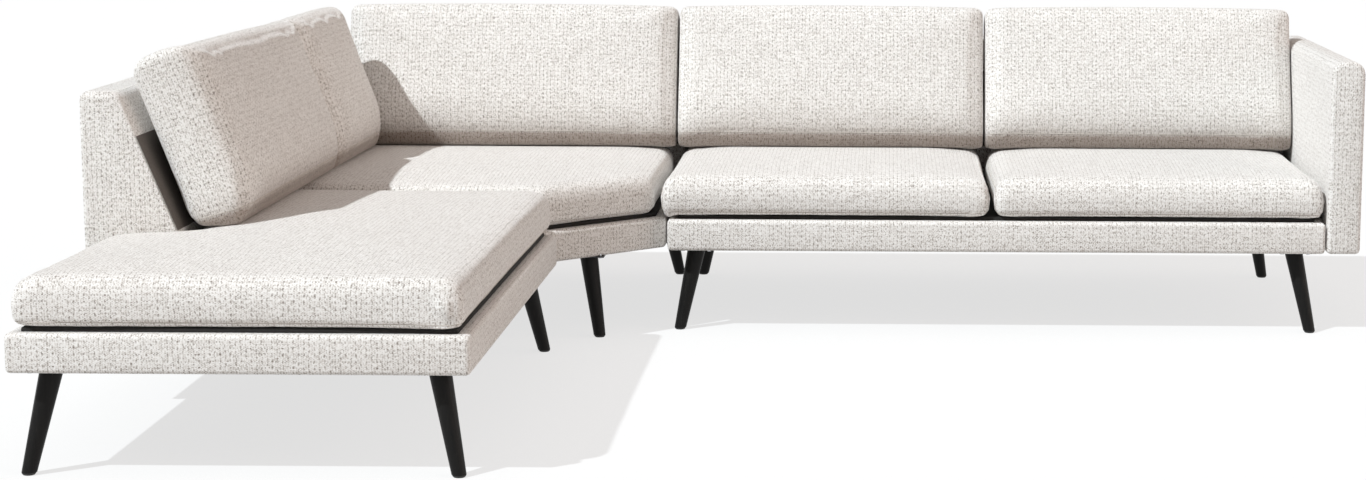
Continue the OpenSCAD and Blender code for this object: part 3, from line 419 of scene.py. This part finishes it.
def padded_band(points):
    """The cover of a base: a soft-edged band with lips above and below, open in its middle."""
    mesh = prism(points, base_low, base_high)
    soften(mesh, mesh.edges[:], base_soft, 4)
    for side in (1, -1):
        face = max(mesh.faces, key=lambda f: f.normal.z * side * f.calc_area())
        bmesh.ops.inset_region(mesh, faces=[face], thickness=base_lip, use_even_offset=True)
        bmesh.ops.delete(mesh, geom=[face], context="FACES")
    bmesh.ops.solidify(mesh, geom=mesh.faces[:], thickness=base_wall)
    bmesh.ops.recalc_face_normals(mesh, faces=mesh.faces)
    return mesh


two_seat_plan = [(0, 0), (1.652, 0), (1.652, straight_depth), (0, straight_depth)]
open_end_plan = to_side([(0, 0), (1.320, 0), (1.320, straight_depth), (0, straight_depth)])
slope = 0.046 * sqrt(2)
corner_far, corner_near = -turned_in - straight_depth, -turned_in + joint_gap
corner_plan = [
    (-joint_gap, -joint_gap + slope),
    (-joint_gap, straight_depth),
    (corner_far, straight_depth),
    (corner_far, corner_near),
    (corner_near - slope, corner_near),
]
base_plans = dict(zip(modules, (open_end_plan, corner_plan, two_seat_plan)))
across_corner, along_corner = Vector((1, -1, 0)).normalized(), Vector((1, 1, 0)).normalized()
corner_ways = flat_ways + [(across_corner, along_corner, z_way)]
for module, plan in base_plans.items():
    add_piece(f"{module}_base_band", padded_band(plan), cream_weave, [f"{module}_base_cover"],
              directions=corner_ways if module == "corner" else flat_ways)

# Decks and dust covers. Dark grey felt over the springs, a little prouder than the band, and
# a thin black cloth stapled under each base.
deck_felt = grained("deck_felt", 0.97, (220, 220, 220),
                    [(0.3, (0.010, 0.009, 0.008)), (0.6, (0.020, 0.018, 0.017)), (0.8, (0.034, 0.031, 0.029))],
                    bump=0.5)
dust_black = grained("dust_black", 0.95, (500, 500, 500),
                     [(0.3, (0.012, 0.012, 0.013)), (0.7, (0.028, 0.028, 0.03))], bump=0.4)


def copied_skin(node):
    """A merged copy of a CAD node's outer skin, without what is inside it."""
    mesh = bmesh.new()
    mesh.from_mesh(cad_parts[node].data)
    bmesh.ops.remove_doubles(mesh, verts=mesh.verts, dist=2e-5)
    shells, left = [], set(mesh.verts)
    while left:
        shell, front = set(), [left.pop()]
        while front:
            vert = front.pop()
            shell.add(vert)
            for edge in vert.link_edges:
                other = edge.other_vert(vert)
                if other in left:
                    left.remove(other)
                    front.append(other)
        shells.append(shell)

    def extent(shell):
        across, heights = [v.co.x for v in shell], [v.co.z for v in shell]
        return max(across) - min(across) + max(heights) - min(heights)

    widest = max(shells, key=extent)
    bmesh.ops.delete(mesh, geom=[v for v in mesh.verts if v not in widest], context="VERTS")
    return mesh


felt_soft = 0.004
for module in modules:
    felt = copied_skin(f"{module}_deck")
    bmesh.ops.dissolve_limit(felt, angle_limit=radians(1), verts=felt.verts, edges=felt.edges)
    soften(felt, felt.edges[:], felt_soft, 2)
    add_piece(f"{module}_deck_felt", felt, deck_felt, [f"{module}_deck"])
    cloth = copied_skin(f"{module}_dust_cover")
    add_piece(f"{module}_dust_cloth", cloth, dust_black, [f"{module}_dust_cover"],
              smooth=False)

# Backs. Padded covers over the pine ribs: an upright outer face, a sloping inner face and a
# soft top. The panel behind hangs down past the base's rear edge.
back_outline = [
    (0.920, 0.204),
    (0.920, 0.688),
    (0.840, 0.688),
    (0.718, 0.388),
    (0.718, 0.2825),
    (0.8925, 0.2825),
    (0.8925, 0.204),
]
back_top_soft, back_soft = 0.017, 0.007


def upholstered_back(start, end, mitre=None):
    """A back along the rear wall between two lengths, with a mitre cut where two meet."""
    mesh = bmesh.new()
    ring = [mesh.verts.new(Vector((start, y, z)) - plan_middle) for y, z in back_outline]
    mesh.faces.new(ring)
    far = bmesh.ops.extrude_face_region(mesh, geom=mesh.faces[:])["geom"]
    far_verts = [v for v in far if isinstance(v, bmesh.types.BMVert)]
    bmesh.ops.translate(mesh, vec=(end - start, 0, 0), verts=far_verts)
    bmesh.ops.recalc_face_normals(mesh, faces=mesh.faces)
    top = [e for e in mesh.edges if all(v.co.z > 0.68 for v in e.verts)]
    soften(mesh, top, back_top_soft, 6)
    sharp = [e for e in mesh.edges if len(e.link_faces) == 2 and e.calc_face_angle() > radians(50)]
    soften(mesh, sharp, back_soft, 3)
    if mitre:
        place, normal = mitre
        cut = bmesh.ops.bisect_plane(mesh, geom=mesh.verts[:] + mesh.edges[:] + mesh.faces[:],
                                     plane_co=Vector(place) - plan_middle, plane_no=normal, clear_outer=True)
        bmesh.ops.holes_fill(mesh, edges=[e for e in cut["geom_cut"] if isinstance(e, bmesh.types.BMEdge)])
    bmesh.ops.recalc_face_normals(mesh, faces=mesh.faces)
    return mesh


def mirror_to_side(mesh):
    """Moves a mesh from the rear wall to the side wall."""
    matrix = Matrix(((0, -1, 0, 0), (-1, 0, 0, 0), (0, 0, 1, 0), (0, 0, 0, 1)))
    shift = Vector((-turned_in, -turned_in, 0)) - plan_middle - matrix @ -plan_middle
    bmesh.ops.transform(mesh, matrix=Matrix.Translation(shift) @ matrix, verts=mesh.verts)
    bmesh.ops.reverse_faces(mesh, faces=mesh.faces)
    return mesh


inner_slope = Vector((0, 0.122, 0.3)).normalized()
rear_ways = flat_ways + [(inner_slope.cross(x_way), x_way, inner_slope)]
side_slope = Vector((-inner_slope.y, 0, inner_slope.z))
side_ways = flat_ways + [(side_slope.cross(y_way), y_way, side_slope)]
corner_size, mitre_slack = 1.165, 0.0002
mitre = ((-corner_size + mitre_slack, 0.920, 0), Vector((-1, -1, 0)).normalized())
add_piece("two_seat_back", upholstered_back(0, 1.652), cream_weave, ["two_seat_back_cover"], directions=rear_ways)
add_piece("open_end_back", mirror_to_side(upholstered_back(0, 0.705)), cream_weave, ["open_end_back_cover"],
          directions=side_ways)
corner_rear = upholstered_back(-corner_size, -joint_gap, mitre)
add_piece("corner_rear_back", corner_rear, cream_weave, ["corner_back_cover"], directions=rear_ways)
corner_side = mirror_to_side(upholstered_back(-corner_size, -joint_gap, mitre))
add_piece("corner_side_back", corner_side, cream_weave, ["corner_back_cover"], directions=side_ways)

# Linings. A plain brown-grey cloth on the lower part of the backs' inner faces, behind the
# loose cushions, sewn to the cover along its upper edge.
lining_cloth = grained("lining_cloth", 0.95, (420, 420, 420),
                       [(0.3, (0.085, 0.072, 0.063)), (0.55, (0.12, 0.104, 0.092)), (0.8, (0.155, 0.137, 0.123))],
                       bump=0.45)
for module in modules:
    mesh = bmesh.new()
    mesh.from_mesh(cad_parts[f"{module}_lining"].data)
    bmesh.ops.remove_doubles(mesh, verts=mesh.verts, dist=2e-5)
    add_piece(f"{module}_lining_cloth", mesh, lining_cloth, [f"{module}_lining"], smooth=False)

# Arm. A padded panel at the right end, of the same weave, with soft upper corners. It stands
# a finger's breadth from the base and is bolted through its end rail.
arm_low, arm_high = Vector((1.656, 0, 0.204)), Vector((1.740, 0.920, 0.688))
arm_top_soft, arm_soft = 0.034, 0.012
arm_mesh = bmesh.new()
bmesh.ops.create_cube(arm_mesh, size=1)
bmesh.ops.scale(arm_mesh, vec=arm_high - arm_low, verts=arm_mesh.verts)
bmesh.ops.translate(arm_mesh, vec=(arm_low + arm_high) / 2 - plan_middle, verts=arm_mesh.verts)
arm_top = [e for e in arm_mesh.edges if all(v.co.z > 0.6 for v in e.verts)]
long_top = [e for e in arm_top if abs(e.verts[0].co.y - e.verts[1].co.y) > 0.5]
soften(arm_mesh, long_top, arm_top_soft, 8)
soften(arm_mesh, [e for e in arm_mesh.edges if e.calc_face_angle() > radians(50)], arm_soft, 4)
add_piece("arm", arm_mesh, cream_weave, ["arm_cover"])

# Loose cushions. Box cushions of the same weave on foam with a soft wadding: the seats lie
# on the decks, the backs lean on the padded backs. A seam runs low round each of them, and
# the straight seats have one round each end panel too.
seam_thread = grained("seam_thread", 0.95, (300, 300, 300),
                      [(0.3, (0.42, 0.38, 0.34)), (0.7, (0.60, 0.56, 0.52))], bump=0.3)


def evaluated_copy(piece):
    """The mesh that a piece's modifiers give."""
    bpy.context.view_layer.update()
    return bpy.data.meshes.new_from_object(piece.evaluated_get(bpy.context.evaluated_depsgraph_get()))


def vertex_normals(data):
    normals = np.zeros(len(data.vertices) * 3, np.float32)
    data.vertex_normals.foreach_get("vector", normals)
    return normals.reshape(-1, 3)


def puff(piece, grow, frames=20, pressure=4.0):
    """Blows the cloth up from inside, with no point moving further than the growth."""
    before = coordinates(piece.data)
    cloth = piece.modifiers.new("puff", "CLOTH")
    cloth.settings.quality = 4
    cloth.settings.use_pressure = True
    cloth.settings.uniform_pressure_force = pressure
    cloth.settings.effector_weights.gravity = 0
    cloth.settings.shrink_min = -0.02
    cloth.point_cache.frame_start = 1
    cloth.point_cache.frame_end = frames
    for step in range(1, frames + 1):
        scene.frame_set(step)
    after = coordinates(evaluated_copy(piece))
    piece.modifiers.remove(cloth)
    scene.frame_set(1)
    moved = after - before
    length = np.linalg.norm(moved, axis=1, keepdims=True)
    moved *= grow * np.tanh(length / grow) / np.maximum(length, 1e-9)
    piece.data.vertices.foreach_set("co", (before + moved).ravel())
    piece.data.update()


def clamped(value):
    """A share, held between nought and one."""
    return min(1, max(0, value))


def keep_near(piece, skin, outer, inner, give=0.0015):
    """Eases every point back between an outer and an inner distance from the solid's skin."""
    tree = BVHTree.FromBMesh(skin)
    for vert in piece.data.vertices:
        near, normal, _, _ = tree.find_nearest(vert.co)
        distance = (vert.co - near).dot(normal)
        kept = min(outer, max(-inner, distance))
        if kept != distance:
            vert.co += normal * (kept - distance + give * tanh((distance - kept) / give))
    piece.data.update()


def relax(piece, times, above=-1.0):
    """Evens a mesh out, or only what lies above a height, which rounds its edges."""
    mesh = bmesh.new()
    mesh.from_mesh(piece.data)
    chosen = [v for v in mesh.verts if v.co.z > above]
    for _ in range(times):
        bmesh.ops.smooth_vert(mesh, verts=chosen, factor=0.5, use_axis_x=True, use_axis_y=True, use_axis_z=True)
    mesh.to_mesh(piece.data)
    mesh.free()


def droop(piece, deck, drop=0.0075, band=0.03, start=0.009, width=0.012):
    """Lets the underside hang a little beyond the deck that carries it. Only a low band moves,
    from a start outside the deck, and over a width down to the whole drop."""
    mesh = bmesh.new()
    mesh.from_mesh(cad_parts[deck].data)
    tree = BVHTree.FromBMesh(mesh)
    top = max(v.co.z for v in mesh.verts)
    mesh.free()
    for vert in piece.data.vertices:
        if vert.co.z < top + band:
            beyond = clamped((tree.find_nearest(vert.co)[3] - start) / width)
            vert.co.z -= drop * beyond * beyond * (3 - 2 * beyond) * (1 - max(0, vert.co.z - top) / band)
    piece.data.update()


def tuck(piece, up, front, foot, face, roll, radius=0.026, sag=0.026, height=0.100, depth=0.150):
    """Turns a back cushion's front under, flat below its seam. Up to a height, and over a depth
    behind its face, the front rolls in and sags to the seat."""
    turn = radians(60)
    half = (pi / 2 - turn) / 2
    for vert in piece.data.vertices:
        rise, ahead = vert.co.dot(up) - foot, vert.co.dot(front) - face
        below, out = radius - rise, ahead + radius
        if below > 0 and out > 0:
            angle = atan2(below, out)
            round_off = radius if angle < turn else radius * cos(half) / cos(angle - turn - half)
            pull = min(0, round_off - sqrt(below * below + out * out)) * min(1, angle / turn)
            vert.co += pull * (cos(angle) * front - sin(angle) * up)
        share = clamped((height - rise) / height) * clamped(1 + ahead / depth)
        vert.co.z -= sag * share * share * (3 - 2 * share)
        vert.co -= front * roll * share * share
    piece.data.update()


def round_ends(piece, along, front, face, places, fall=0.016, width=0.085, depth=0.090):
    """Lets a back cushion's front fall away softly towards its ends."""
    for vert in piece.data.vertices:
        share = max(0, 1 - min(abs(place - vert.co.dot(along)) for place in places) / width)
        vert.co -= front * fall * share * share * clamped(1 + (vert.co.dot(front) - face) / depth)
    piece.data.update()


def press_ends(piece, along, up, front, head, face, ends, room=0.0008, reach=0.035):
    """Presses a back cushion's ends flat against its neighbours. The front's edge, the rear
    and the top stay as they are, and the press sets in softly beside them."""
    for vert in piece.data.vertices:
        ahead, below = vert.co.dot(front) - face, head - vert.co.dot(up)
        held = clamped((-ahead - 0.010) / 0.020) * clamped((ahead + 0.170) / 0.030) * clamped((below - 0.012) / 0.020)
        for end, side in ends:
            gap = (end - vert.co.dot(along)) * side
            if room < gap < reach:
                vert.co += along * side * (gap - room) * held * (1 - gap / reach)
    piece.data.update()


def seam_path(data, place, normal):
    """The closed line in which a plane cuts a cushion, as points in order. It starts at the
    edge that comes first in the mesh, and so at the same place in every run."""
    mesh = bmesh.new()
    mesh.from_mesh(data)
    cut = bmesh.ops.bisect_plane(mesh, geom=mesh.verts[:] + mesh.edges[:] + mesh.faces[:],
                                 plane_co=place, plane_no=normal)
    mesh.edges.index_update()
    edges = {e for e in cut["geom_cut"] if isinstance(e, bmesh.types.BMEdge)}
    longest = []
    while edges:
        first = min(edges, key=lambda e: e.index)
        edges.remove(first)
        line = [first.verts[0], first.verts[1]]
        found = True
        while found:
            found = next((e for e in line[-1].link_edges if e in edges), None)
            if found:
                edges.remove(found)
                line.append(found.other_vert(line[-1]))
        if len(line) > len(longest):
            longest = line
    points = [v.co.copy() for v in longest[:-1]]
    mesh.free()
    return points


def sew(piece, name, lines, body, thread=0.0011, points=220):
    """Lays a sewn thread on a cushion along each closed line."""
    curve = bpy.data.curves.new(name, "CURVE")
    curve.dimensions = "3D"
    curve.bevel_depth = thread
    curve.bevel_resolution = 1
    tree = BVHTree.FromObject(piece, bpy.context.evaluated_depsgraph_get())
    for line in lines:
        kept = [tree.find_nearest(p)[0] for p in line[:: max(1, len(line) // points)]]
        spline = curve.splines.new("POLY")
        spline.points.add(len(kept) - 1)
        for point, place in zip(spline.points, kept):
            point.co = (*place, 1)
        spline.use_cyclic_u = True
    holder = bpy.data.objects.new(name, curve)
    scene.collection.objects.link(holder)
    sewn_data = evaluated_copy(holder)
    bpy.data.objects.remove(holder)
    sewn_data.materials.clear()
    sewn_data.materials.append(seam_thread)
    sewn_data.name = name
    sewn = bpy.data.objects.new(name, sewn_data)
    scene.collection.objects.link(sewn)
    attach(sewn, body)


def cushion(name, node, body, directions, seams, voxel, grow, finish, inner=0.0015, outer=0.0005, dents=0.0016,
            groove_depth=0.0016, groove_width=0.008, painted_shade_plane=None):
    """A stuffed cushion: the node's skin remeshed, shrunk a little, blown up as cloth, given
    its last shape by finish, and its seams as grooves with a sewn line in each. A seam is the
    (place, normal) of its plane. The plane given last, as (place, normal), bounds a painted
    shade: the attribute under paints the cloth fully in shade below it, and in a shade that
    fades out over 70 mm above it."""
    skin = copied_skin(node)
    data = bpy.data.meshes.new(name)
    skin.to_mesh(data)
    piece = bpy.data.objects.new(name, data)
    scene.collection.objects.link(piece)
    remesh = piece.modifiers.new("even", "REMESH")
    remesh.mode = "VOXEL"
    remesh.voxel_size = voxel
    piece.data = evaluated_copy(piece)
    piece.modifiers.remove(remesh)
    relax(piece, 2)
    places = coordinates(piece.data) - vertex_normals(piece.data) * inner
    piece.data.vertices.foreach_set("co", places.ravel())
    puff(piece, grow)
    normals = vertex_normals(piece.data)
    seed = Vector((len(node) * 3.7, len(name) * 1.3, 5.1))
    for vert, normal in zip(piece.data.vertices, normals):
        broad = noise.noise(vert.co * 5.5 + seed) + 0.5 * noise.noise(vert.co * 13.0 + seed)
        vert.co += Vector(normal) * broad * dents
    relax(piece, 2)
    keep_near(piece, skin, outer, inner)
    skin.free()
    finish(piece)
    finer = piece.modifiers.new("finer", "SUBSURF")
    finer.levels = finer.render_levels = 1
    piece.data = evaluated_copy(piece)
    piece.modifiers.remove(finer)
    piece.data.name = name
    lines = [seam_path(piece.data, place, normal) for place, normal in seams]
    places, normals = coordinates(piece.data), vertex_normals(piece.data)
    for place, normal in seams:
        away = np.abs((places - np.array(place)) @ np.array(normal)) / groove_width
        places -= normals * (groove_depth * np.clip(1 - away**2, 0, 1) ** 2)[:, None]
    piece.data.vertices.foreach_set("co", places.ravel())
    piece.data.update()
    if painted_shade_plane:
        # Painted shade: full below the plane, and fading out over 70 mm above it, where the front turns under.
        above = (places - np.array(painted_shade_plane[0])) @ np.array(painted_shade_plane[1])
        edge_shade = 0.4 * np.clip(1 - above / 0.07, 0, 1) ** 2
        under = np.maximum(np.clip(-above / 0.005, 0, 1), edge_shade)
        piece.data.attributes.new("under", "FLOAT", "POINT").data.foreach_set("value", under.astype(np.float32))
    piece.data.materials.clear()
    piece.data.materials.append(cream_weave)
    piece.data.shade_smooth()
    lay_cloth(piece.data, directions)
    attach(piece, body)
    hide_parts(node)
    sew(piece, f"{name}_seams", lines, body)


def end_seams(node, axis, inset):
    """Seams near both ends of a cushion along an axis."""
    low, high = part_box(node)
    normal = Vector([axis == 0, axis == 1, axis == 2])
    return [(normal * end, normal) for end in (low[axis] + inset, high[axis] - inset)]


def low_seam(node, rise):
    """A seam all round, a little above a seat's underside."""
    return [(Vector((0, 0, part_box(node)[0].z + rise)), z_way)]


seat_grow, seat_edge, edge_fall = 0.010, 0.097, 0.045
end_bulge, bulge_width = 0.006, 0.08
for part, deck, ways, voxel in (
    ("left_seat", "two_seat_deck", flat_ways, 0.0095),
    ("right_seat", "two_seat_deck", flat_ways, 0.0095),
    ("corner_seat", "corner_deck", corner_ways, 0.010),
    ("open_end_seat", "open_end_deck", flat_ways, 0.0105),
):
    node = f"{part}_cushion"
    seams = low_seam(node, 0.009) + (end_seams(node, 0, 0.008) if part != "corner_seat" else [])
    edge_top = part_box(node)[0].z + seat_edge

    def settle(piece):
        relax(piece, 7, edge_top - edge_fall)
        if part == "open_end_seat":
            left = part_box(node)[0].x
            for vert in piece.data.vertices:
                share = clamped(1 - (vert.co.x - left) / bulge_width)
                vert.co.x -= end_bulge * share * share
        droop(piece, deck)

    cushion(f"{part}_pad", node, part, ways, seams, voxel, seat_grow, settle)

# Back cushions. Each leans on the back at a fifth of a right angle, its lower edge on the
# seat. The front rolls in above its low seam and sags to the seat. Below the seam the cloth
# is painted in shade, and a painted shade fades out above it, where the front turns under.
lean = radians(20)
rear_up = Vector((0, sin(lean), cos(lean)))
rear_front = Vector((0, -cos(lean), sin(lean)))
side_up = Vector((-sin(lean), 0, cos(lean)))
side_front = Vector((cos(lean), 0, sin(lean)))
rear_cloth = [(x_way, rear_front, rear_up), (rear_front, x_way, rear_up), (rear_up, x_way, rear_front)]
side_cloth = [(y_way, side_front, side_up), (side_front, y_way, side_up), (side_up, y_way, side_front)]
back_voxel, back_grow, back_inner = 0.0095, 0.012, 0.001
front_crown, front_roll = 0.015, 0.030
seam_rise, seam_tilt = 0.017, 0.07
near_lift, far_bulge, bulge_depth = 0.010, 0.009, 0.12
for part, ways, front in (
    ("side_back", side_cloth, side_front),
    ("short_back", side_cloth, side_front),
    ("rear_back", rear_cloth, rear_front),
    ("left_back", rear_cloth, rear_front),
    ("right_back", rear_cloth, rear_front),
):
    node = f"{part}_cushion"
    along, up = ways[0][0], ways[0][2]
    corners = [Vector(v.co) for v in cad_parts[node].data.vertices]
    face = max(c.dot(front) for c in corners) - front_crown
    foot, head = min(c.dot(up) for c in corners), max(c.dot(up) for c in corners)
    seam = (front * (face - front_roll) + up * (foot + seam_rise), (up + front * seam_tilt).normalized())

    def lean_on(piece):
        low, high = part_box(node)
        near_end, far_end = low.dot(along), high.dot(along)
        tuck(piece, up, front, foot, face, front_roll)
        round_ends(piece, along, front, face, (near_end,) if part == "short_back" else (near_end, far_end))
        ends = [(far_end, 1)] + ([] if part == "side_back" else [(near_end, -1)])
        press_ends(piece, along, up, front, head, face, ends)
        if part in ("side_back", "short_back"):
            for vert in piece.data.vertices:
                near = (high.y - vert.co.y) / (high.y - low.y)
                if part == "side_back":
                    height = (vert.co.dot(up) - foot) / (head - foot)
                    vert.co += up * near_lift * max(0, height) ** 2 * near * near
                else:
                    ahead = clamped(1 + (vert.co.dot(front) - face) / bulge_depth)
                    vert.co += front * far_bulge * ahead * (1 - near)

    # The low seam's plane also bounds each back cushion's painted shade.
    cushion(f"{part}_pad", node, part, ways, [seam], back_voxel, back_grow, lean_on, back_inner, painted_shade_plane=seam)
